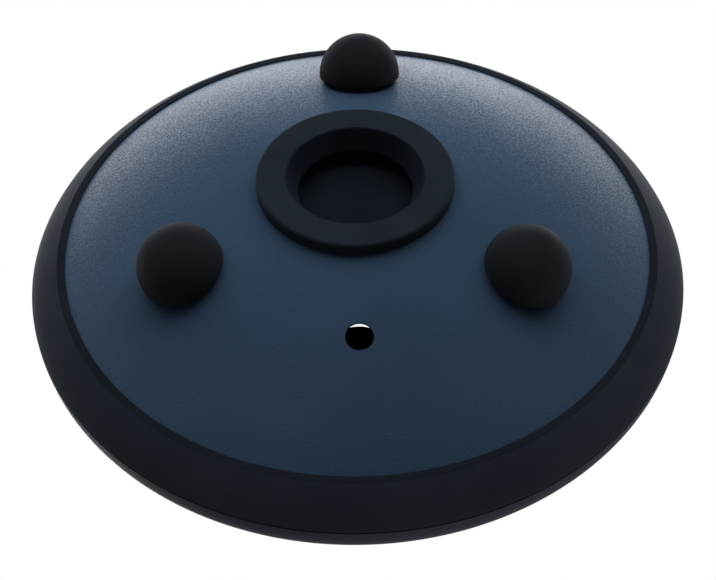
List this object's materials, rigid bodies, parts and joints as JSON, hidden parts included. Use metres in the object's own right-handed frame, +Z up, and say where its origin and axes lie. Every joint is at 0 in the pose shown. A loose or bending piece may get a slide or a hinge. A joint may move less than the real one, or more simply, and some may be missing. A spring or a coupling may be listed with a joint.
{
  "type": "tongue drum",
  "caption": "Round steel tongue drum: two domed powder-coated shells in a rubber rim band, sprung tongues cut in the top, a rubber-collared port and dome feet below.",
  "frame": {"origin": "on the floor under the drum's axis, in the plane of the three flats that the feet rest on", "axes": "+Z up along the drum's axis, from the feet to the tongues; +Y towards the first foot"},
  "size_m": [0.4, 0.4, 0.1685],
  "materials": {
    "navy_coat": "fine-grained satin powder coat",
    "black_rubber": "matt moulded rubber",
    "plain_steel": "zinc-plated steel",
    "brass": "turned brass"
  },
  "bodies": {
    "drum_body": {"top_shell": "navy_coat", "bottom_shell": "navy_coat", "rim_band": "black_rubber", "port_collar": "black_rubber", "port_plug": "black_rubber", "foot_1": "black_rubber", "foot_insert_1": "brass", "foot_screw_1": "plain_steel", "foot_washer_1": "plain_steel", "foot_2": "black_rubber", "foot_insert_2": "brass", "foot_screw_2": "plain_steel", "foot_washer_2": "plain_steel", "foot_3": "black_rubber", "foot_insert_3": "brass", "foot_screw_3": "plain_steel", "foot_washer_3": "plain_steel"},
    "tongue_1": {"tongue_1": "navy_coat"},
    "tongue_2": {"tongue_2": "navy_coat"},
    "tongue_3": {"tongue_3": "navy_coat"},
    "tongue_4": {"tongue_4": "navy_coat"},
    "tongue_5": {"tongue_5": "navy_coat"},
    "tongue_6": {"tongue_6": "navy_coat"},
    "tongue_7": {"tongue_7": "navy_coat"},
    "tongue_8": {"tongue_8": "navy_coat"},
    "tongue_centre": {"tongue_centre": "navy_coat"}
  },
  "joints": [
    {"name": "tongue_1_flex", "type": "hinge", "parent": "drum_body", "child": "tongue_1", "pos_m": [0, -0.156, 0.11756], "axis": [1, 0, 0], "range_deg": [-0.8, 0.8], "stiffness_Nm_per_rad": 12},
    {"name": "tongue_2_flex", "type": "hinge", "parent": "drum_body", "child": "tongue_2", "pos_m": [0.11031, -0.11031, 0.11764], "axis": [0.7071, 0.7071, 0], "range_deg": [-0.8, 0.8], "stiffness_Nm_per_rad": 12},
    {"name": "tongue_3_flex", "type": "hinge", "parent": "drum_body", "child": "tongue_3", "pos_m": [0.156, 0, 0.11772], "axis": [0, 1, 0], "range_deg": [-0.8, 0.8], "stiffness_Nm_per_rad": 12},
    {"name": "tongue_4_flex", "type": "hinge", "parent": "drum_body", "child": "tongue_4", "pos_m": [0.11031, 0.11031, 0.11779], "axis": [-0.7071, 0.7071, 0], "range_deg": [-0.8, 0.8], "stiffness_Nm_per_rad": 12},
    {"name": "tongue_5_flex", "type": "hinge", "parent": "drum_body", "child": "tongue_5", "pos_m": [0, 0.156, 0.11783], "axis": [-1, 0, 0], "range_deg": [-0.8, 0.8], "stiffness_Nm_per_rad": 12},
    {"name": "tongue_6_flex", "type": "hinge", "parent": "drum_body", "child": "tongue_6", "pos_m": [-0.11031, 0.11031, 0.11776], "axis": [-0.7071, -0.7071, 0], "range_deg": [-0.8, 0.8], "stiffness_Nm_per_rad": 12},
    {"name": "tongue_7_flex", "type": "hinge", "parent": "drum_body", "child": "tongue_7", "pos_m": [-0.156, 0, 0.11768], "axis": [0, -1, 0], "range_deg": [-0.8, 0.8], "stiffness_Nm_per_rad": 12},
    {"name": "tongue_8_flex", "type": "hinge", "parent": "drum_body", "child": "tongue_8", "pos_m": [-0.11031, -0.11031, 0.1176], "axis": [0.7071, -0.7071, 0], "range_deg": [-0.8, 0.8], "stiffness_Nm_per_rad": 12},
    {"name": "tongue_centre_flex", "type": "hinge", "parent": "drum_body", "child": "tongue_centre", "pos_m": [0, -0.035, 0.16503], "axis": [1, 0, 0], "range_deg": [-0.8, 0.8], "stiffness_Nm_per_rad": 6}
  ]
}
